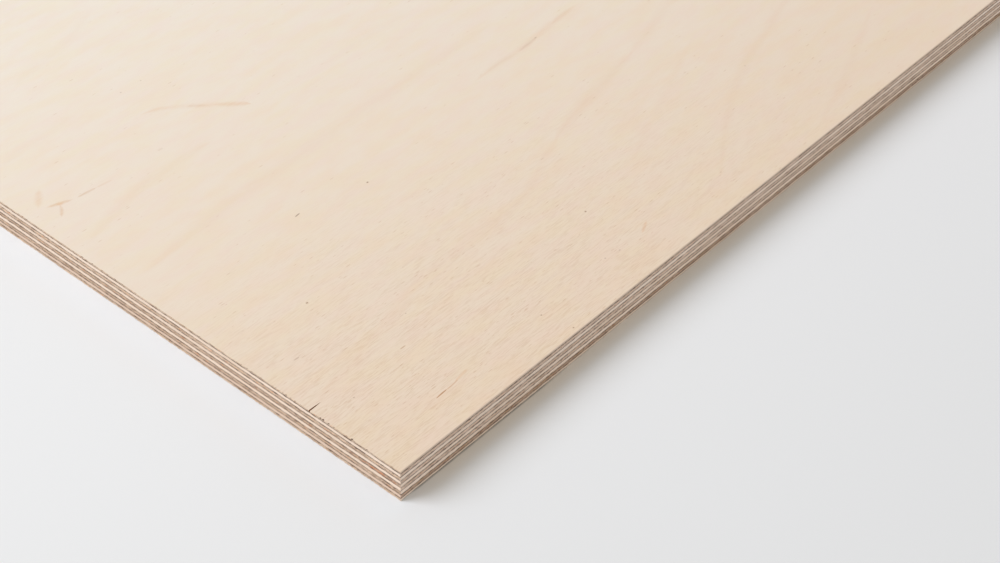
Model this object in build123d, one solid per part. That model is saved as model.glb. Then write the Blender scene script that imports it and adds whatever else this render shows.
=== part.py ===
from build123d import *
import os

# Birch plywood sheet: nine peeled veneers, each laid across the grain of the one below it,
# glued and pressed into one board, sanded on both faces and sawn square to a trade size.
#
# X runs along the grain of the face, Y across it and Z up. The origin is the middle of the
# back face, which the sheet lies on. Lengths are in millimetres.

# The sawn sheet
sheet_length = 2440.0
sheet_width = 1220.0

# The veneers as they are in the finished sheet. Sanding leaves the two outer ones thinner.
back_thickness = 1.29
inner_thickness = 1.43
face_thickness = 0.70
inner_count = 7

# An open split in the face veneer. Its mouth is at the sawn end and it runs in along the
# grain to a point, a short way from the sheet's long side. Its two edges bulge a little.
split_from_side = 36.0
split_length = 4.8
split_mouth = 0.40
split_bulge = 0.04


def veneer_thicknesses():
    """Thickness of each veneer in the order of laying, from the back of the sheet to its face."""
    return [back_thickness] + [inner_thickness] * inner_count + [face_thickness]


def veneer_name(number, count):
    """A veneer's name: the outer two go by their side of the sheet, the others by their grain."""
    if number == 1:
        return f"veneer_{number}_back"
    if number == count:
        return f"veneer_{number}_face"
    grain = "long_grain" if number % 2 else "cross_grain"
    return f"veneer_{number}_{grain}"


def veneer(thickness, underside):
    """One peeled veneer, trimmed to the sheet, with its underside at the height given."""
    with BuildPart() as layer:
        with BuildSketch(Plane.XY.offset(underside)):
            Rectangle(sheet_length, sheet_width)
        extrude(amount=thickness)
    return layer.part


def end_split(underside):
    """The space of the split, right through the face veneer, with its mouth at the sawn end."""
    half_mouth = split_mouth / 2
    middle_of_mouth = Pos(-sheet_length / 2, -sheet_width / 2 + split_from_side)
    with BuildPart() as split:
        with BuildSketch(Plane.XY.offset(underside) * middle_of_mouth):
            with BuildLine():
                SagittaArc((0, half_mouth), (split_length, 0), split_bulge)
                SagittaArc((split_length, 0), (0, -half_mouth), split_bulge)
                Line((0, -half_mouth), (0, half_mouth))
            make_face()
        extrude(amount=face_thickness)
    return split.part


def lay_up():
    """All the veneers by name, each one lying on the last."""
    thicknesses = veneer_thicknesses()
    sheet = {}
    height = 0.0
    for number, thickness in enumerate(thicknesses, start=1):
        layer = veneer(thickness, height)
        if number == len(thicknesses):
            layer -= end_split(height)
        sheet[veneer_name(number, len(thicknesses))] = layer
        height += thickness
    return sheet


os.makedirs("parts", exist_ok=True)
for name, layer in lay_up().items():
    layer.label = name
    export_step(layer, f"parts/{name}.step")
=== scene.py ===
import math

import bpy
import numpy as np
from mathutils import Matrix, Vector
from mathutils.geometry import delaunay_2d_cdt


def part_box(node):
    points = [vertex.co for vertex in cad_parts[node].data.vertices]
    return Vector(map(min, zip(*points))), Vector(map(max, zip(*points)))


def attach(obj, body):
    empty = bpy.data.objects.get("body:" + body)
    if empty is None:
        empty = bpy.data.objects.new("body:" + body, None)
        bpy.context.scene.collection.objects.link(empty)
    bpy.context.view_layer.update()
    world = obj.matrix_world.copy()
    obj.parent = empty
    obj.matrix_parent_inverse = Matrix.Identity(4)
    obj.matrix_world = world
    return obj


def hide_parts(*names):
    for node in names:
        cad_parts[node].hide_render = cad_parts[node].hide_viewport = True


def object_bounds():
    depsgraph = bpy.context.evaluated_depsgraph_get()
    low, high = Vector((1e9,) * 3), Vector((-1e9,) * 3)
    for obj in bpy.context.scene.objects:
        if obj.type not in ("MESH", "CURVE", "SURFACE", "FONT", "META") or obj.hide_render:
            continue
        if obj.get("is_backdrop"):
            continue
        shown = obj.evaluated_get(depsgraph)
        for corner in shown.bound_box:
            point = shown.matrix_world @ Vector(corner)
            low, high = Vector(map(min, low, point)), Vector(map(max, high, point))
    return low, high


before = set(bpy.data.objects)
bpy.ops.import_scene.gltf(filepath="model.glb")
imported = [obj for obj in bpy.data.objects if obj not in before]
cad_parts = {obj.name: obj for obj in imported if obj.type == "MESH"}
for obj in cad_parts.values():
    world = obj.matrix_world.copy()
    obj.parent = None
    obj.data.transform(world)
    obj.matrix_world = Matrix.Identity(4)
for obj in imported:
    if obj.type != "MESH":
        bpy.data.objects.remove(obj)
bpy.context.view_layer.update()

# The back veneer, which lies on the floor with its fibres along the sheet. The sheet is nine birch
# veneers, peeled from the log, laid across each other, glued in a hot press, sanded on both faces
# and sawn to size.

# Places on the sheet are in millimetres from its low corner: x along the grain of the face, y
# across it and height from the back.
MM = 0.001
low, high = (Vector(corner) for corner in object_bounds())
length, width = (high.x - low.x) / MM, (high.y - low.y) / MM
# The kinds of surface on a veneer: its two sawn edges, the sides of its split and its two faces.
END, SIDE, SPLIT, UPPER, UNDER = range(5)
# How far the part by the low corner reaches that a veneer's map shows enlarged.
NEAR_X, NEAR_Y = 340.0, 280.0


def stations(run, finest, widest):
    """Distances along a sawn edge: close together by the low corner and wider apart beyond."""
    places, growth = [0.0], 0.0025
    while places[-1] < run - widest:
        places.append(places[-1] + min(widest, finest + growth * places[-1]))
    return places


def sawn_outline(finest, widest):
    """The outline, counter-clockwise from the low corner: x, y, inward x, inward y, which edge."""
    runs = [[(x, 0.0, 0.0, 1.0, SIDE) for x in stations(length, finest, widest)],
            [(length, y, -1.0, 0.0, END) for y in np.arange(0.0, width, widest)],
            [(x, width, 0.0, -1.0, SIDE) for x in np.arange(length, 0.0, -widest)],
            [(0.0, y, 1.0, 0.0, END) for y in [width] + stations(width, finest, widest)[:0:-1]]]
    for run, inward in zip(runs, ((1.0, 1.0), (-1.0, 1.0), (-1.0, -1.0), (1.0, -1.0))):
        run[0] = (*run[0][:2], *inward, run[0][4])
    return np.array(sum(runs, []))


def from_corner(outline):
    """The distance of each point of the outline from the nearest corner of the sheet."""
    return np.minimum.reduce([np.hypot(outline[:, 0] - x, outline[:, 1] - y)
                              for x in (0.0, length) for y in (0.0, width)])


def sawn_depth(outline, heights, seed):
    """How far in the saw left each point of an edge: rougher on the sheet's ends, and not at all
    on the sides of the split."""
    deepest = np.array([0.05, 0.02, 0.0])[outline[:, 4].astype(int)]
    deepest *= np.clip(from_corner(outline), 0.0, 1.0)
    return np.random.default_rng(seed).random((len(outline), len(heights))) ** 2 * deepest[:, None]


def eased(outline, heights, arris, at_end, at_side):
    """How far in each point lies where an arris is rubbed round, by its radius at ends and sides."""
    turn = 2.0
    more = np.where(outline[:, 4] == SIDE, at_side - at_end, 0.0)
    radius = (at_end + more * np.clip(from_corner(outline) / turn, 0.0, 1.0))[:, None]
    within = np.clip(1 - np.abs(heights - arris) / radius, 0.0, 1.0)
    return radius * (1 - np.sqrt(1 - within ** 2))


def veneer_mesh(name, outline, heights, inward, shown=None, marks=((), ())):
    """A closed veneer: its edges in columns and rows of faces, and a flat cap above and below. The
    cap that shows is divided where its near part ends, and along the points and lines of marks."""
    count, rows = len(outline), len(heights)
    flat = outline[:, None, :2] + outline[:, None, 2:4] * inward[:, :, None]
    vertices = [(*flat[i, j], heights[j]) for i in range(count) for j in range(rows)]
    faces, kinds = [], []
    for i in range(count):
        after = (i + 1) % count
        kind = int(outline[after if outline[i, 4] == SPLIT else i, 4])
        for j in range(rows - 1):
            faces.append((i * rows + j, after * rows + j, after * rows + j + 1, i * rows + j + 1))
            kinds.append(kind)
    rim = [(i, (i + 1) % count) for i in range(count)]
    near = [(NEAR_X, 1.0), (NEAR_X, width - 1.0), (1.0, NEAR_Y), (length - 1.0, NEAR_Y)]
    for row, kind in ((rows - 1, UPPER), (0, UNDER)):
        cap, edges = [Vector(p) for p in flat[:, row]], rim
        if kind == shown:
            first = count + len(near)
            cap += [Vector(p) for p in [*near, *marks[0]]]
            edges = rim + [(count, count + 1), (count + 2, count + 3)]
            edges += [(first + a, first + b) for a, b in marks[1]]
        made = delaunay_2d_cdt(cap, edges, [], 1, 1e-5, True)
        columns = [min(sources, default=count) for sources in made[3]]
        index = []
        for point, column in zip(made[0], columns):
            if column < count:
                index.append(column * rows + row)
            else:
                vertices.append((*point, heights[row]))
                index.append(len(vertices) - 1)
        for triangle in made[2]:
            a, b, c = (columns[k] for k in triangle)
            # A triangle that bridges a notch or the split meets the outline in backward order.
            if max(a, b, c) >= count or a < b < c or b < c < a or c < a < b:
                corners = [index[k] for k in triangle]
                faces.append(corners if kind == UPPER else corners[::-1])
                kinds.append(kind)
    mesh = bpy.data.meshes.new(name)
    mesh.from_pydata([low + Vector(v) * MM for v in vertices], [], faces)
    mesh.polygons.foreach_set("material_index", kinds)
    return mesh


def places_of(mesh):
    """Where each point of the mesh lies on the sheet: x, y and height."""
    places = np.zeros(3 * len(mesh.vertices))
    mesh.vertices.foreach_get("co", places)
    return (places.reshape(-1, 3) - low) / MM


def unfold(mesh, outline, heights, shown=None):
    """Lays the surfaces out on a square map: the cap that shows, with its near part enlarged, then
    both caps again, small, and then the sawn edges, cut into strips."""
    # The length of a strip, the height of the cap that shows and its near part's share. Then the
    # length left free after a strip, the size of a small cap, the margin and a strip's full share.
    strip, top, near_share = (640.0, 0.78, 0.55) if shown else (320.0, 0.0, 0.0)
    spare, small, margin, filled = 8.0, 0.03, 0.005, 0.7
    corners, kinds = np.zeros(len(mesh.loops), int), np.zeros(len(mesh.polygons), int)
    mesh.loops.foreach_get("vertex_index", corners)
    mesh.polygons.foreach_get("material_index", kinds)
    kinds = np.repeat(kinds, [polygon.loop_total for polygon in mesh.polygons])
    x, y, _ = places_of(mesh)[corners].T
    drawn = np.stack([x / length + 1.5 * (kinds == UNDER), y / width], 1) * small
    drawn += (margin, top + margin)
    if shown:
        graded = [np.interp(x, (0.0, NEAR_X, length), (0.0, near_share, 1.0)),
                  np.interp(y, (0.0, NEAR_Y, width), (0.0, near_share, 1.0))]
        graded = np.stack(graded, 1) * (1 - 2 * margin, top - 2 * margin) + margin
        drawn = np.where((kinds == shown)[:, None], graded, drawn)
    steps = np.hypot(*np.diff(outline[:, :2], axis=0, append=outline[:1, :2]).T)
    first = top + small + 3 * margin
    tall = (1 - first) / math.ceil(steps.sum() / strip)
    column, row = np.divmod(np.arange(len(outline) * (len(heights) - 1)), len(heights) - 1)
    number, start = np.divmod((np.cumsum(steps) - steps)[column], strip)
    level = (heights - heights[0]) / (heights[-1] - heights[0])
    across = np.stack([start, start + steps[column], start + steps[column], start], 1) / (strip + spare)
    upward = np.stack([level[row], level[row], level[row + 1], level[row + 1]], 1)
    edge = np.stack([across * (1 - 2 * margin) + margin,
                     first + tall * (number[:, None] + (1 - filled) / 2 + filled * upward)], 2)
    drawn[:4 * len(column)] = edge.reshape(-1, 2)
    mesh.uv_layers.new(name="OFBake").data.foreach_set("uv", drawn.astype(np.float32).ravel())


def carry(mesh, name, values):
    """Stores one number for each point of the mesh, which its materials read by name. The points
    past the last value get 0."""
    stored = np.zeros(len(mesh.vertices), np.float32)
    stored[:len(values)] = values
    mesh.attributes.new(name, "FLOAT", "POINT").data.foreach_set("value", stored)


def lay(node, mesh, materials):
    """Puts a veneer in place of its plain solid, with a material for each kind of surface."""
    for material in materials:
        mesh.materials.append(material)
    piece = bpy.data.objects.new(mesh.name, mesh)
    bpy.context.scene.collection.objects.link(piece)
    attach(piece, "root")
    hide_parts(node)


def paint(red, green, blue, tone=(1.0, 1.0, 1.0)):
    """A colour as a screen shows it, 0 to 255, in the linear values that materials take."""
    shown = [value / 255 for value in (red, green, blue)]
    linear = [v / 12.92 if v <= 0.04045 else ((v + 0.055) / 1.055) ** 2.4 for v in shown]
    return (*(value * share for value, share in zip(linear, tone)), 1.0)


def put(tree, kind, inputs, **settings):
    """Adds a node with its settings, and links or fills its inputs, given by name or number."""
    made = tree.nodes.new("ShaderNode" + kind)
    for name, value in settings.items():
        setattr(made, name, value)
    for name, value in inputs.items():
        if isinstance(value, bpy.types.NodeSocket):
            tree.links.new(value, made.inputs[name])
        else:
            made.inputs[name].default_value = value
    return made


def blend(tree, share, under, over):
    """One colour over another, by a share from 0 to 1."""
    return put(tree, "MixRGB", {"Fac": share, "Color1": under, "Color2": over}).outputs[0]


def tinted(tree, share, colour, tint):
    """A colour with its red, green and blue multiplied, at full share, by those of the tint."""
    inputs = {"Fac": share, "Color1": colour, "Color2": (*tint, 1.0)}
    return put(tree, "MixRGB", inputs, blend_type="MULTIPLY").outputs[0]


def calc(tree, operation, *values):
    """A sum on values of the surface."""
    return put(tree, "Math", dict(enumerate(values)), operation=operation).outputs[0]


def step(tree, value, start, end, before=0.0, after=1.0):
    """A soft step between two values of what it reads."""
    limits = {"Value": value, "From Min": start, "From Max": end, "To Min": before, "To Max": after}
    return put(tree, "MapRange", limits, interpolation_type="SMOOTHSTEP").outputs[0]


def carried(tree, name):
    """What the mesh carries under that name."""
    return put(tree, "Attribute", {}, attribute_name=name).outputs["Fac"]


def place_on_sheet(tree):
    """The place on the sheet, in millimetres from its low corner."""
    seat = put(tree, "TexCoord", {}).outputs["Object"]
    shift = {"Vector": seat, "Location": -low / MM, "Scale": (1 / MM, 1 / MM, 1 / MM)}
    return put(tree, "Mapping", shift).outputs[0]


def grain(tree, place, along, across, seed, fibre=0, detail=2.0, roughness=0.5):
    """Noise drawn out along the fibres, 0 to 1, of that usual length and breadth in millimetres."""
    sizes = [across, across, across]
    sizes[fibre] = along
    drawn = put(tree, "Mapping", {"Vector": place, "Location": (seed * 7.3, seed * 3.1, seed * 5.7),
                                  "Scale": [1 / size for size in sizes]}).outputs[0]
    return put(tree, "TexNoise", {"Vector": drawn, "Scale": 1.0, "Detail": detail,
                                  "Roughness": roughness}).outputs[0]


def strewn(tree, place, along, across, seed, share, least, most):
    """Small lens shapes strewn along the fibres, one or none to each cell of that length and
    breadth. The share of cells that hold one and their least and most size are from 0 to 1."""
    drawn = put(tree, "Mapping", {"Vector": place, "Location": (seed * 7.3, seed * 3.1, 0.0),
                                  "Scale": (1 / along, 1 / across, 1.0)}).outputs[0]
    cells = put(tree, "TexVoronoi", {"Vector": drawn, "Scale": 1.0}, voronoi_dimensions="2D")
    chance = put(tree, "SeparateColor", {"Color": cells.outputs["Color"]})
    size = calc(tree, "MULTIPLY_ADD", chance.outputs["Green"], most - least, least)
    lens = step(tree, calc(tree, "DIVIDE", cells.outputs["Distance"], size), 0.4, 1.0, 1.0, 0.0)
    held = step(tree, calc(tree, "SUBTRACT", share, chance.outputs["Red"]), -0.01, 0.01)
    return calc(tree, "MULTIPLY", lens, held)


def bare_wood(name, roughness):
    """A wood material to be coloured: the material, its tree and the place on the sheet."""
    material = bpy.data.materials.new(name)
    material.use_nodes = True
    shader = material.node_tree.nodes["Principled BSDF"]
    shader.inputs["Roughness"].default_value = roughness
    shader.inputs["IOR"].default_value = 1.45
    return material, material.node_tree, place_on_sheet(material.node_tree)


def surface(material, colour, relief, height):
    """Gives a material its colour and a fine relief of a height in millimetres."""
    tree = material.node_tree
    shader = tree.nodes["Principled BSDF"]
    tree.links.new(colour, shader.inputs["Base Color"])
    bump = put(tree, "Bump", {"Height": relief, "Distance": height * MM, "Strength": 1.0})
    tree.links.new(bump.outputs[0], shader.inputs["Normal"])
    return material


def with_glue(tree, place, colour, half_width):
    """The colour of a sawn edge with the dark line of phenolic glue at the veneer's joints. The
    glue has soaked in unevenly."""
    wander = step(tree, grain(tree, place, 4.0, 2.5, 11, detail=3.0), 0.3, 0.7, -0.07, 0.07)
    away = calc(tree, "ADD", carried(tree, "to_glue"), wander)
    share = step(tree, away, half_width - 0.05, half_width + 0.05, 1.0, 0.0)
    amount = step(tree, grain(tree, place, 1.4, 1.4, 12, detail=3.0), 0.35, 0.6, 0.5, 1.0)
    return blend(tree, calc(tree, "MULTIPLY", share, amount), colour, paint(70, 42, 24))


def sawn_along(name, fibre, seed, pale, tone):
    """A sawn edge that runs along the veneer's fibres: pale and smooth."""
    material, tree, place = bare_wood(name, 0.65)
    streaks = grain(tree, place, 16.0, 0.25, seed, fibre, detail=3.0, roughness=0.6)
    colour = blend(tree, step(tree, streaks, 0.42, 0.78), paint(*pale, tone), paint(214, 188, 163, tone))
    colour = with_glue(tree, place, colour, 0.15)
    # Where the mesh carries it, the edge is painted dark: painted shade along the back's bottom arris, where
    # the sheet meets the floor.
    colour = blend(tree, carried(tree, "torn_and_shaded"), colour, paint(92, 64, 46))
    return surface(material, colour, streaks, 0.02)


def sawn_across(name, fibre, seed, brown, tone, coarse=1.0, fur=0.0):
    """A sawn edge that cuts the veneer's fibres off: brown, with pits and a few orange flecks,
    the more the coarser it is, and dark in the chips along its arris, partly the broken wood and
    partly painted shade in their hollows. Away from the glue it may be furred with paler fibre ends."""
    material, tree, place = bare_wood(name, 0.75)
    patches = grain(tree, place, 9.0, 5.0, seed, 1 - fibre)
    pits = grain(tree, place, 1.6, 0.28, seed + 1, 1 - fibre, detail=3.0, roughness=0.75)
    flecks = grain(tree, place, 2.2, 0.5, seed + 2, 1 - fibre)
    warmer = grain(tree, place, 5.0, 1.2, seed + 3, 1 - fibre)
    resin = calc(tree, "MULTIPLY", carried(tree, "resin"), step(tree, pits, 0.4, 0.55))
    resin = calc(tree, "MULTIPLY", resin, step(tree, flecks, 0.42, 0.52))
    furred = step(tree, carried(tree, "to_glue"), 0.5, 1.1, 0.0, fur)
    darker = [value - 18 for value in brown]
    colour = blend(tree, step(tree, patches, 0.35, 0.65), paint(*brown, tone), paint(*darker, tone))
    colour = blend(tree, step(tree, warmer, 0.4, 0.65, 0.0, coarse - 0.5), colour, paint(212, 180, 148, tone))
    colour = blend(tree, step(tree, pits, 0.52, 0.63, 0.0, 0.9 * coarse), colour, paint(98, 68, 46, tone))
    colour = blend(tree, step(tree, flecks, 0.63, 0.7, 0.0, coarse - 0.3), colour, paint(206, 138, 92, tone))
    colour = blend(tree, resin, colour, paint(196, 120, 76))
    colour = blend(tree, furred, colour, paint(226, 207, 186))
    colour = with_glue(tree, place, colour, 0.17)
    # The chips are painted dark: partly the broken wood, partly painted shade in their hollows.
    colour = blend(tree, carried(tree, "torn_and_shaded"), colour, paint(66, 38, 20))
    return surface(material, colour, pits, 0.05)


def mellow(tree, place, seed):
    """The tone of sanded birch, which drifts slowly over the sheet."""
    drift = grain(tree, place, 520.0, 170.0, seed)
    return blend(tree, step(tree, drift, 0.3, 0.7), paint(231, 211, 190), paint(239, 225, 208))


def figured(tree, place, colour, seed, share):
    """The figure of a peeled veneer: the lines that the knife left where it crossed the growth
    rings, brown flecks along the grain and a few pins. Its share is from 0 to 1."""
    lie = calc(tree, "MULTIPLY", grain(tree, place, 1100.0, 230.0, seed, detail=1.0), 13.0)
    wavering = calc(tree, "MULTIPLY_ADD", grain(tree, place, 150.0, 36.0, seed + 1), 0.9, lie)
    ring = calc(tree, "FRACT", wavering)
    line = calc(tree, "MULTIPLY", step(tree, ring, 0.0, 0.93), step(tree, ring, 0.93, 1.0, 1.0, 0.0))
    worn = step(tree, grain(tree, place, 90.0, 30.0, seed + 2), 0.35, 0.65, 0.1, 0.5)
    worn = calc(tree, "MULTIPLY", worn, share)
    colour = blend(tree, calc(tree, "MULTIPLY", line, worn), colour, paint(217, 189, 158))
    stray = calc(tree, "MULTIPLY", grain(tree, place, 40.0, 20.0, seed + 3), 14.0)
    stray = put(tree, "CombineXYZ", {"Y": stray}).outputs[0]
    bent = put(tree, "VectorMath", {0: place, 1: stray}, operation="ADD").outputs[0]
    fleck = strewn(tree, bent, 150.0, 26.0, seed + 4, 0.22, 0.03, 0.09)
    pin = strewn(tree, place, 80.0, 80.0, seed + 5, 0.5, 0.004, 0.01)
    colour = blend(tree, calc(tree, "MULTIPLY", fleck, worn), colour, paint(196, 142, 98))
    return blend(tree, calc(tree, "MULTIPLY", pin, share), colour, paint(150, 110, 82))


def fibred(tree, place, colour, seed, raised):
    """The fibres of a sanded veneer: soft yellowish and pinkish mottling, short fine streaks, and
    the open ends of pores where the fibres are raised. Gives the colour and the relief."""
    yellowish = step(tree, grain(tree, place, 15.0, 5.0, seed, detail=3.0), 0.35, 0.7)
    pinkish = step(tree, grain(tree, place, 12.0, 5.0, seed + 1, detail=3.0), 0.35, 0.7)
    streaks = grain(tree, place, 4.0, 0.24, seed + 2, detail=2.0, roughness=0.6)
    bundled = step(tree, grain(tree, place, 20.0, 6.0, seed + 3), 0.35, 0.65, 0.7, 1.0)
    bundled = calc(tree, "MULTIPLY", bundled, raised)
    streaked = calc(tree, "MULTIPLY", step(tree, streaks, 0.44, 0.68), bundled)
    clustered = step(tree, grain(tree, place, 16.0, 7.0, seed + 4), 0.5, 0.65, 0.04, 0.5)
    pore = strewn(tree, place, 5.5, 0.75, seed + 5, calc(tree, "MULTIPLY", clustered, raised), 0.08, 0.24)
    colour = tinted(tree, yellowish, colour, (1.0, 0.991, 0.938))
    colour = tinted(tree, pinkish, colour, (1.003, 0.974, 0.982))
    colour = tinted(tree, streaked, colour, (0.9, 0.85, 0.8))
    return tinted(tree, pore, colour, (0.86, 0.78, 0.71)), streaks


node, tone = "veneer_1_back", (0.98, 0.96, 0.94)
underside, top = (corner.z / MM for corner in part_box(node))
outline = sawn_outline(finest=0.3, widest=4.0)
heights = underside + (top - underside) * np.array([0.0, 0.05, 0.12, 0.22, 0.35, 0.6, 0.9, 1.0])

# The saw came out at the bottom arris and left it ragged. Along the sheet's side, most of all by
# the low corner, it is also bruised in spots, and there its lowest rows are painted dark: painted
# shade where the sheet meets the floor. Each list gives how much of that reaches each height.
fringe = np.array([0.9, 0.6, 0.3, 0.1, 0.0, 0.0, 0.0, 0.0])
notched = np.array([0.9, 0.9, 0.8, 0.05, 0.0, 0.0, 0.0, 0.0])
contact_shade_rows = np.array([1.0, 1.0, 1.0, 0.8, 0.0, 0.0, 0.0, 0.0])
furry = np.where(outline[:, 4] == END, 0.5, 0.15) * np.clip(from_corner(outline), 0.0, 1.0)
ragged = (furry * np.random.default_rng(40).random(len(outline)) ** 2)[:, None] * fringe
bruised = np.interp(outline[:, 0], (0.0, 5.0, 58.0, 75.0), (0.0, 1.0, 1.0, 0.3)) * (outline[:, 4] == SIDE)
spots = np.arange(0.0, length + width, 1.9)
worn = np.random.default_rng(41).uniform(-0.1, 1.3, len(spots))
bruised *= np.clip(np.interp(outline[:, 0] + outline[:, 1], spots, worn), 0.1, 1.0)
inward = np.maximum(sawn_depth(outline, heights, 1) + ragged, bruised[:, None] * notched)
inward = np.maximum(inward, eased(outline, heights, underside, at_end=0.12, at_side=0.45))
mesh = veneer_mesh("ply_1_back", outline, heights, inward, shown=UNDER)
carry(mesh, "to_glue", top - places_of(mesh)[:, 2])
# Painted shade along the bruised bottom arris of the side, where the sheet meets the floor.
carry(mesh, "torn_and_shaded", (bruised[:, None] * contact_shade_rows).ravel())
unfold(mesh, outline, heights, shown=UNDER)

# The pale paint at the sides is lighter than at the ends: partly painted light, lifting the side that lies in
# shade.
brown_at_end, pale_at_side = (208, 183, 160), (250, 233, 220)
end = sawn_across("back_end", 0, 51, brown_at_end, tone, fur=0.35)
side = sawn_along("back_side", 0, 54, pale_at_side, tone)
sanded, tree, place = bare_wood("sanded_back", 0.55)
colour = figured(tree, place, mellow(tree, place, 61), 62, 1.0)
colour, relief = fibred(tree, place, colour, 68, 0.4)
surface(sanded, colour, relief, 0.02)
lay(node, mesh, [end, side, side, side, sanded])

# The seven inner veneers of birch, each glued across the one below. At an end of the sheet the
# cross-grained ones are cut along their fibres and show pale, and at a side the long-grained ones.
# At the sides the brown paint and most of the veneers' tones are lighter than at the ends: partly painted
# light, lifting the side that lies in shade.
brown_at_side, pale_at_end = (231, 207, 190), (234, 214, 195)
tones_at_end = {2: (0.85, 0.79, 0.75), 3: (0.94, 0.91, 0.89), 4: (1.0, 0.99, 0.98),
                5: (0.92, 0.89, 0.87), 6: (0.98, 0.97, 0.96), 7: (1.05, 1.04, 1.03), 8: (1.0, 1.0, 1.0)}
# The lowest inner veneer's tone at the side is darker, partly painted shade close to the floor.
tones_at_side = {2: (0.8, 0.73, 0.68), 3: (1.08, 1.06, 1.05), 4: (1.05, 1.04, 1.03),
                 5: (1.0, 0.97, 0.95), 6: (1.06, 1.05, 1.04), 7: (1.03, 1.02, 1.02), 8: (1.05, 1.05, 1.05)}
resin_place, resin_reach = 11.0, 5.5
glue, tree, place = bare_wood("glue_film", 0.5)
spread = grain(tree, place, 3.0, 1.0, 31)
surface(glue, blend(tree, spread, paint(80, 54, 40), paint(118, 86, 62)), spread, 0.02)
for number in range(2, 9):
    grain_way, fibre = ("long", 0) if number % 2 else ("cross", 1)
    node = f"veneer_{number}_{grain_way}_grain"
    underside, top = (corner.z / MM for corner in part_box(node))
    heights = underside + (top - underside) * np.array([0.0, 0.15, 0.5, 0.85, 1.0])
    outline = sawn_outline(finest=0.5, widest=6.0)
    inward = sawn_depth(outline, heights, number)
    mesh = veneer_mesh(f"ply_{number}_{grain_way}_grain", outline, heights, inward)
    x, y, height = places_of(mesh).T
    carry(mesh, "to_glue", np.minimum(height - underside, top - height))
    # Resin has soaked into the end of the middle veneer in one place.
    carry(mesh, "resin", np.exp(-((y - resin_place) / resin_reach) ** 2) * (x < 1.0) * (number == 5))
    unfold(mesh, outline, heights)
    tone_at_end, tone_at_side = tones_at_end[number], tones_at_side[number]
    coarse = 1.0 if number == 2 else 0.7
    if grain_way == "long":
        edges = [sawn_across(f"ply_{number}_end", 0, 10 * number, brown_at_end, tone_at_end),
                 sawn_along(f"ply_{number}_side", 0, 10 * number + 5, pale_at_side, tone_at_side)]
    else:
        edges = [sawn_along(f"ply_{number}_end", 1, 10 * number + 5, pale_at_end, tone_at_end),
                 sawn_across(f"ply_{number}_side", 1, 10 * number, brown_at_side, tone_at_side, coarse)]
    lay(node, mesh, edges + [glue, glue, glue])


# The face veneer: the best of the birch, with faint wandering bands, a few mineral streaks and
# pins. It is sanded, so it is the thinnest. The saw has torn small chips out of its end arris,
# and by the low corner the veneer has split open from its end.
def smooth_line(points, spacing):
    """Points along a smooth curve through the given ones, about so far apart."""
    points = np.array(points, float)
    padded = np.vstack([2 * points[0] - points[1], points, 2 * points[-1] - points[-2]])
    line = [points[0]]
    for a, b, c, d in zip(padded, padded[1:], padded[2:], padded[3:]):
        steps = max(1, round(float(np.hypot(*(c - b)) / spacing)))
        for t in np.arange(1, steps + 1) / steps:
            line.append(0.5 * (2 * b + (c - a) * t + (2 * a - 5 * b + 4 * c - d) * t ** 2
                               + (3 * b - a - 3 * c + d) * t ** 3))
    return np.array(line)


def middle_of(course, breadth):
    """The middle line of a mark, with at least five points, and how far it reaches each side."""
    whole = np.hypot(*np.subtract(course[-1], course[0]))
    line = smooth_line(course, min(max(breadth, 0.6), whole / 4))
    return line, breadth / 2 * np.sqrt(np.clip(np.sin(np.pi * np.linspace(0.0, 1.0, len(line))), 0.0, 1.0))


def mark_lines(marks):
    """Points and lines that divide the veneer along each mark's middle and round its border."""
    points, lines = [], []
    for course, breadth, _, _ in marks:
        middle, reach = middle_of(course, breadth)
        ahead = np.gradient(middle, axis=0)
        across = np.stack([-ahead[:, 1], ahead[:, 0]], 1) / np.hypot(*ahead.T)[:, None] * reach[:, None]
        first, count = len(points), len(middle)
        points.extend([*middle, *(middle + across)[1:-1], *(middle - across)[1:-1]])
        lines.extend((first + k, first + k + 1) for k in range(count - 1))
        for start in (first + count, first + 2 * count - 2):
            border = [first, *range(start, start + count - 2), first + count - 1]
            lines.extend(zip(border, border[1:]))
    return points, lines


def mark_values(mesh, marks):
    """For each point of the mesh how near the middle of a mark it lies, its strength and warmth."""
    places = places_of(mesh)[:, :2]
    depth, strength, warmth = (np.zeros(len(places)) for _ in range(3))
    for course, breadth, mark_strength, mark_warmth in marks:
        middle, reach = middle_of(course, breadth)
        near = np.all((places > middle.min(0) - breadth) & (places < middle.max(0) + breadth), axis=1)
        inside = places[near][:, None]
        start, run = middle[:-1], np.diff(middle, axis=0)
        share = np.clip(((inside - start) * run).sum(2) / (run ** 2).sum(1), 0.0, 1.0)
        away = np.hypot(*np.moveaxis(inside - start - run * share[:, :, None], 2, 0))
        rows, nearest = np.arange(len(away)), away.argmin(1)
        there = np.interp(nearest + share[rows, nearest], np.arange(len(middle)), reach)
        away = away[rows, nearest]
        value = np.where(there > 0.02, np.clip(1 - away / np.maximum(there, 0.02), 0.0, 1.0), 0.0)
        better = (away <= there + 0.02) & (value * mark_strength >= depth[near] * strength[near])
        index = np.flatnonzero(near)[better]
        depth[index], strength[index], warmth[index] = value[better], mark_strength, mark_warmth
    return depth, strength, warmth


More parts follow.
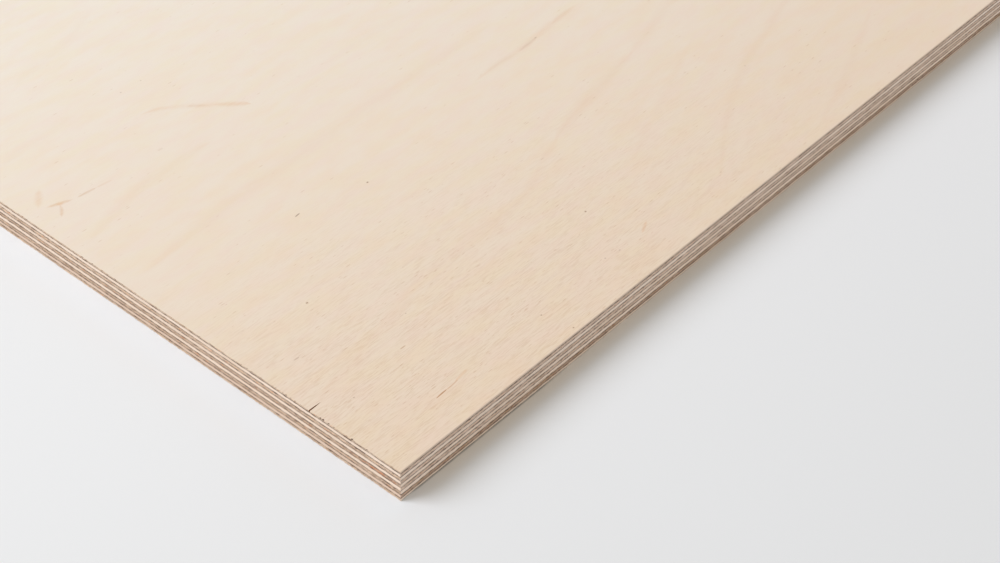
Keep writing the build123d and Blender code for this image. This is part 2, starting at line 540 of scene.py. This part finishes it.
# Marks on the face: the course of each, its breadth, its strength and its warmth, from brown to
# orange. A pin is its place, its size and its strength.
bands = [
    ([(3, 37), (17, 40.4), (36, 44), (53, 48.8), (79, 51.9), (112, 53), (131, 59.8),
      (150, 66.8)], 8.0, 0.1, 1.0),
    ([(145, 65.5), (160, 70), (178, 73.5), (207, 79)], 8.0, 0.15, 1.0),
    ([(200, 77.5), (237, 87.5), (262, 95), (300, 104)], 9.0, 0.1, 1.0),
    ([(3, 115.5), (50, 122), (125, 125.5), (187, 127.5)], 11.0, 0.1, 1.0),
    ([(3, 139), (15, 143.5), (32, 148.5), (55, 150.5), (70, 150)], 8.0, 0.1, 1.0),
    ([(167, 12), (185, 23.5), (200, 32.5), (224, 44), (240, 48.5), (262, 55), (285, 61)], 6.0, 0.1, 1.0),
    ([(212, 4), (230, 9), (250, 16), (287, 31)], 6.0, 0.08, 1.0),
    ([(150, 37.5), (175, 47.5), (200, 57.5), (225, 67.5)], 6.0, 0.06, 1.0),
    ([(40, 221), (47, 225), (70, 230), (95, 242)], 8.0, 0.08, 1.0),
    ([(10, 190), (22, 193.5), (50, 195.5)], 8.0, 0.06, 1.0),
    ([(122, 153.5), (140, 155), (175, 154)], 8.0, 0.06, 1.0),
]
streaks = [
    ([(28.0, 12.3), (33.6, 12.6)], 0.8, 1.15, 0.65),
    ([(32.6, 12.5), (35.6, 12.6), (38.8, 12.9)], 0.8, 0.62, 0.8),
    ([(37.0, 13.0), (41.0, 13.5), (44.2, 13.9)], 1.7, 0.42, 1.0),
    ([(60.4, 179.1), (66.6, 177.2), (73.2, 172.9), (82.4, 164.3), (91.0, 156.0)], 4.5, 0.16, 1.0),
    ([(61.5, 178.9), (66.6, 177.2), (71.5, 174.4)], 4.0, 0.3, 1.0),
    ([(74.9, 171.2), (77.6, 168.6), (81.3, 165.3)], 3.0, 0.35, 0.85),
    ([(81.5, 165.0), (86.7, 160.4), (91.5, 155.6)], 4.5, 0.42, 1.0),
    ([(7.2, 163.7), (12.1, 161.9), (17.6, 160.0)], 2.4, 0.5, 0.9),
    ([(17.4, 160.2), (20.9, 159.9), (26.0, 159.5)], 1.7, 0.45, 0.8),
    ([(25.0, 159.6), (28.3, 159.2), (32.4, 158.8)], 1.4, 0.28, 0.9),
    ([(10.9, 162.2), (13.6, 161.2)], 3.2, 0.75, 1.0),
    ([(11.8, 161.2), (10.4, 158.6), (7.8, 155.6)], 2.2, 0.42, 0.9),
    ([(5.6, 164.4), (13.0, 173.2)], 4.5, 0.32, 1.0),
    ([(151.8, 107.8), (166.4, 109.0), (176.1, 108.7), (193.0, 110.6), (207.1, 112.0), (215.1, 112.3)],
     5.0, 0.18, 1.0),
    ([(160.0, 108.6), (168.0, 108.9), (176.1, 108.7)], 4.0, 0.24, 0.9),
    ([(176.1, 108.7), (181.8, 108.9), (188.9, 109.8)], 2.8, 0.4, 0.75),
    ([(198.0, 111.1), (205.0, 111.9), (211.0, 112.2)], 4.0, 0.32, 0.95),
    ([(11.3, 54.1), (14.2, 54.1)], 0.7, 0.6, 0.3),
    ([(36.0, 34.2), (39.0, 34.2)], 0.8, 0.7, 0.6),
    ([(58.2, 101.2), (61.2, 101.6)], 0.8, 0.8, 0.1),
    ([(127.0, 13.7), (134.0, 17.0)], 2.0, 0.45, 1.0),
    ([(51.5, 159.5), (54.5, 159.5)], 1.4, 0.25, 0.6),
]
pins = [(32.2, 69.3, 1.2, 1.0), (87.0, 96.5, 1.1, 0.85), (123.7, 34.2, 1.1, 0.95), (76.2, 12.8, 0.9, 0.8),
        (78.5, 2.0, 0.9, 0.8), (49.0, 43.8, 0.7, 0.6), (12.5, 30.2, 0.7, 0.6), (187.8, 109.7, 1.3, 0.6),
        (110.0, 15.0, 0.9, 0.5), (116.2, 14.1, 0.9, 0.5), (65.2, 193.5, 0.9, 0.4), (74.5, 193.8, 0.9, 0.4),
        (225.0, 43.7, 1.0, 0.4), (170.0, 14.0, 1.0, 0.4)]
marks = bands + streaks
marks += [([(x - size / 2, y), (x + size / 2, y)], size, strength, 0.3) for x, y, size, strength in pins]

node, tone = "veneer_9_face", (1.0, 1.0, 1.0)
underside, top = (corner.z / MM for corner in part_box(node))

# The split lies where the plain solid has it, with its mouth torn a little wider. The points of
# the sawn end stay clear of it.
inside = [v.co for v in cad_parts[node].data.vertices if low.y + MM < v.co.y < high.y - MM]
tip = max(inside, key=lambda corner: corner.x)
mouth = [(corner.y - low.y) / MM for corner in inside if corner.x < tip.x - MM]
reach, middle, half = (tip.x - low.x) / MM, (tip.y - low.y) / MM, (max(mouth) - min(mouth)) / 2
share = np.linspace(0.0, 1.0, 7)
torn_wider, bulge, clear = 1.25, 0.25, 0.1
opening = torn_wider * half * (1 - share) + bulge * share * (1 - share)
split = [(reach * s, middle + o, 0.0, 0.0, SPLIT) for s, o in zip(share, opening)]
split += [(reach * s, middle - o, 0.0, 0.0, SPLIT) for s, o in zip(share[-2::-1], opening[-2::-1])]
outline = sawn_outline(finest=0.25, widest=4.0)
at_low_end = (outline[:, 0] == 0) & (outline[:, 4] == END)
above = outline[~at_low_end | (outline[:, 1] > middle + half + clear)]
below = outline[at_low_end & (outline[:, 1] < middle - half - clear)]
outline = np.vstack([above, split, below])
heights = top - np.array([top - underside, 0.55, 0.4, 0.25, 0.15, 0.08, 0.03, 0.0])

# Chips along the end arris: where each is, half its width and how far in it goes. They are
# shallower lower down.
chips = [(3.3, 0.3, 0.2), (13.0, 0.3, 0.25), (18.9, 0.45, 0.46), (21.0, 0.3, 0.22), (26.0, 0.3, 0.25),
         (28.2, 0.4, 0.32), (30.4, 0.45, 0.45), (31.5, 0.35, 0.36), (41.8, 0.3, 0.22), (43.6, 0.3, 0.22),
         (45.5, 0.4, 0.28), (46.9, 0.3, 0.2), (49.8, 0.3, 0.22), (51.1, 0.3, 0.2), (56.0, 0.35, 0.22),
         (59.7, 0.35, 0.25), (62.0, 0.35, 0.25)]
chance, others = np.random.default_rng(90), 220
chips += zip(chance.uniform(64.0, width - 2.0, others), chance.uniform(0.25, 0.45, others),
             chance.uniform(0.08, 0.25, others))
torn_and_shaded = np.zeros(len(outline))
for y, half_width, depth in chips:
    torn_and_shaded = np.maximum(torn_and_shaded, depth * np.clip(1 - ((outline[:, 1] - y) / half_width) ** 2, 0.0, 1.0))
torn_and_shaded = (torn_and_shaded * (outline[:, 4] == END))[:, None] * np.interp(top - heights, (0.0, 0.5), (1.0, 0.0))
inward = np.maximum(sawn_depth(outline, heights, 9), torn_and_shaded)
inward = np.maximum(inward, eased(outline, heights, top, at_end=0.08, at_side=0.25))
mesh = veneer_mesh("ply_9_face", outline, heights, inward, UPPER, mark_lines(marks))
carry(mesh, "to_glue", places_of(mesh)[:, 2] - underside)
# The chips' hollows are painted dark, partly as painted shade.
carry(mesh, "torn_and_shaded", np.interp(torn_and_shaded.ravel(), (0.05, 0.25), (0.0, 1.0)))
for label, values in zip(("mark", "mark_strength", "mark_warmth"), mark_values(mesh, marks)):
    carry(mesh, label, values)
unfold(mesh, outline, heights, shown=UPPER)

# By the low corner the face is painted paler across the sheet and a little darker and cooler along
# it: partly the wood's own tone and partly painted light, growing toward the window across the
# sheet and dimming along it. Beyond, its tone and figure go on as on the back. By the corner its
# fibres are also more raised.
sanded, tree, place = bare_wood("sanded_face", 0.55)
away = put(tree, "VectorMath", {0: place}, operation="LENGTH").outputs["Value"]
beyond = step(tree, away, 220.0, 480.0)
axes = put(tree, "SeparateXYZ", {"Vector": place}).outputs
across = put(tree, "MapRange", {"Value": axes["Y"], "From Min": 0.0, "From Max": 300.0}).outputs[0]
along = put(tree, "MapRange", {"Value": axes["X"], "From Min": 0.0, "From Max": 300.0}).outputs[0]
lit_tone_by_corner = blend(tree, across, paint(231.5, 211, 189), paint(245, 236, 223))
lit_tone_by_corner = tinted(tree, along, lit_tone_by_corner, (0.955, 0.968, 0.985))
colour = blend(tree, beyond, lit_tone_by_corner, mellow(tree, place, 3))
colour = figured(tree, place, colour, 4, beyond)
drawn = put(tree, "VectorMath", {0: place, 1: (0.55, 1.3, 0.0)}, operation="MULTIPLY").outputs[0]
by_side = put(tree, "VectorMath", {0: drawn}, operation="LENGTH").outputs["Value"]
raised = calc(tree, "MAXIMUM", step(tree, by_side, 30.0, 165.0, 1.1, 0.12),
              calc(tree, "MULTIPLY", beyond, 0.4))
colour, relief = fibred(tree, place, colour, 13, raised)

# The marks, a little uneven along the fibres, each between brown and orange by its warmth.
uneven = step(tree, grain(tree, place, 7.0, 0.5, 19, detail=3.0), 0.3, 0.7, 0.6, 1.0)
stain = calc(tree, "MULTIPLY", step(tree, carried(tree, "mark"), 0.0, 1.0), uneven)
stain = calc(tree, "MULTIPLY", stain, carried(tree, "mark_strength"))
orange = tinted(tree, stain, colour, (0.88, 0.62, 0.4))
brown = tinted(tree, stain, colour, (0.14, 0.06, 0.03))
surface(sanded, blend(tree, carried(tree, "mark_warmth"), brown, orange), relief, 0.02)
end = sawn_across("face_end", 0, 91, (214, 190, 167), tone, fur=0.4)
side = sawn_along("face_side", 0, 95, (221, 200, 183), tone)
# The walls of the split are a darker brown than the sawn wood, partly painted shade inside the narrow split.
split_wood, tree, place = bare_wood("split_wood", 0.8)
fibres = grain(tree, place, 2.0, 0.2, 97)
surface(split_wood, blend(tree, fibres, paint(158, 110, 78), paint(198, 150, 110)), fibres, 0.02)
lay(node, mesh, [end, side, split_wood, sanded, glue])

# The floor: plain and white, level with the back face. Light is painted on it: it is a little
# brighter on the side that the daylight comes from and by the low corner, and along the sheet there
# it has a thin line of painted shade where the sheet meets it. Close by the sheet it is painted
# cooler along the lit end, taking out some of the warm light that the end bounces onto it, and
# painted warmer along the shaded side, as warm light bounced off that side.
def between(tree, value, start, full, last, end):
    """A share that rises from start to full, stays there, and falls from last to end."""
    return calc(tree, "MULTIPLY", step(tree, value, start, full), step(tree, value, last, end, 1.0, 0.0))


far, backdrop_white = 20000.0 * MM, paint(233, 233, 233)
mesh = bpy.data.meshes.new("floor")
mesh.from_pydata([(-far, -far, low.z), (far, -far, low.z), (far, far, low.z), (-far, far, low.z)],
                 [], [(0, 1, 2, 3)])
floor = bpy.data.objects.new("floor", mesh)
bpy.context.scene.collection.objects.link(floor)
material, tree, place = bare_wood("floor_paint", 0.8)
axes = put(tree, "SeparateXYZ", {"Vector": place}).outputs
away = put(tree, "VectorMath", {0: place}, operation="LENGTH").outputs["Value"]
# Painted light: brighter toward the daylight and by the low corner, a little darker further along the sheet's
# side, and plain white further off.
colour = blend(tree, step(tree, axes["Y"], -250.0, 250.0), paint(221, 221, 221), paint(241, 241, 241))
colour = tinted(tree, step(tree, axes["X"], 40.0, 320.0), colour, (0.97, 0.965, 0.965))
colour = blend(tree, step(tree, away, 340.0, 1000.0), colour, backdrop_white)
# Painted shade: a thin dark line on the floor along the shaded side by the low corner, where the sheet meets
# it.
floor_contact_shade = calc(tree, "MULTIPLY", between(tree, axes["X"], 4.0, 9.0, 58.0, 74.0),
             between(tree, axes["Y"], -0.5, -0.1, 1.0, 2.0))
colour = blend(tree, calc(tree, "MULTIPLY", floor_contact_shade, 0.4), colour, paint(96, 86, 78))
# Painted light: the floor is tinted cooler close by the lit end, against the warm light that the end bounces
# onto it.
painted_cool_light = calc(tree, "MULTIPLY", between(tree, axes["X"], -14.0, -1.0, 1.0, 6.0),
              between(tree, axes["Y"], -6.0, 4.0, width, width + 6.0))
colour = tinted(tree, painted_cool_light, colour, (1.0, 1.035, 1.06))
# Painted light: the floor in the shade close by the side is tinted warmer, as warm light bounced off that
# side.
warmer = calc(tree, "MULTIPLY", between(tree, axes["X"], 2.0, 20.0, length, length + 6.0),
              between(tree, axes["Y"], -6.0, -0.5, 1.0, 6.0))
colour = tinted(tree, warmer, colour, (1.01, 0.965, 0.9))
tree.links.new(colour, tree.nodes["Principled BSDF"].inputs["Base Color"])
mesh.materials.append(material)
floor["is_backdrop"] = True

# Daylight from a broad window on the left, and a white room round about that is a little warmer.
azimuth, elevation = math.radians(138.6), math.radians(39.8)
to_window = Vector((math.cos(azimuth) * math.cos(elevation), math.sin(azimuth) * math.cos(elevation),
                    math.sin(elevation)))
lamp = bpy.data.lights.new("window", "SUN")
lamp.energy = 2.258
lamp.color = (0.958, 1.0, 1.105)
lamp.angle = math.radians(38.0)
window = bpy.data.objects.new("window", lamp)
window.rotation_euler = to_window.to_track_quat("Z", "Y").to_euler()
bpy.context.scene.collection.objects.link(window)

world = bpy.data.worlds.new("room")
bpy.context.scene.world = world
world.use_nodes = True
tree = world.node_tree
room = tree.nodes["Background"]
room.inputs["Color"].default_value = (1.03, 1.0, 0.92, 1.0)
room.inputs["Strength"].default_value = 0.54
backdrop = put(tree, "Background", {"Color": backdrop_white, "Strength": 1.0})
rays = put(tree, "LightPath", {})
seen = calc(tree, "MAXIMUM", rays.outputs["Is Camera Ray"], rays.outputs["Is Glossy Ray"])
seen = calc(tree, "MAXIMUM", seen, rays.outputs["Is Transmission Ray"])
mixed = put(tree, "MixShader", {0: seen, 1: room.outputs[0], 2: backdrop.outputs[0]})
tree.links.new(mixed.outputs[0], tree.nodes["World Output"].inputs["Surface"])

# The camera looks down on the low corner as the photographer did. Its stand is measured from the
# top of that corner.
yaw, pitch, roll = (math.radians(angle) for angle in (40.009, 41.566, 1.58))
ahead = Vector((math.cos(yaw) * math.cos(pitch), math.sin(yaw) * math.cos(pitch), -math.sin(pitch)))
level = Vector((math.sin(yaw), -math.cos(yaw), 0.0))
right = math.cos(roll) * level + math.sin(roll) * level.cross(ahead)
up = math.cos(roll) * level.cross(ahead) - math.sin(roll) * level
lens = bpy.data.cameras.new("camera")
lens.lens, lens.sensor_width, lens.clip_start, lens.clip_end = 71.2, 36.0, 0.01, 200.0
camera = bpy.data.objects.new("camera", lens)
stand = Vector((low.x, low.y, high.z)) + Vector((-271.96, -262.66, 406.73)) * MM
camera.matrix_world = Matrix.Translation(stand) @ Matrix((right, up, -ahead)).transposed().to_4x4()
bpy.context.scene.collection.objects.link(camera)
bpy.context.scene.camera = camera
bpy.context.scene.view_settings.view_transform = "Standard"
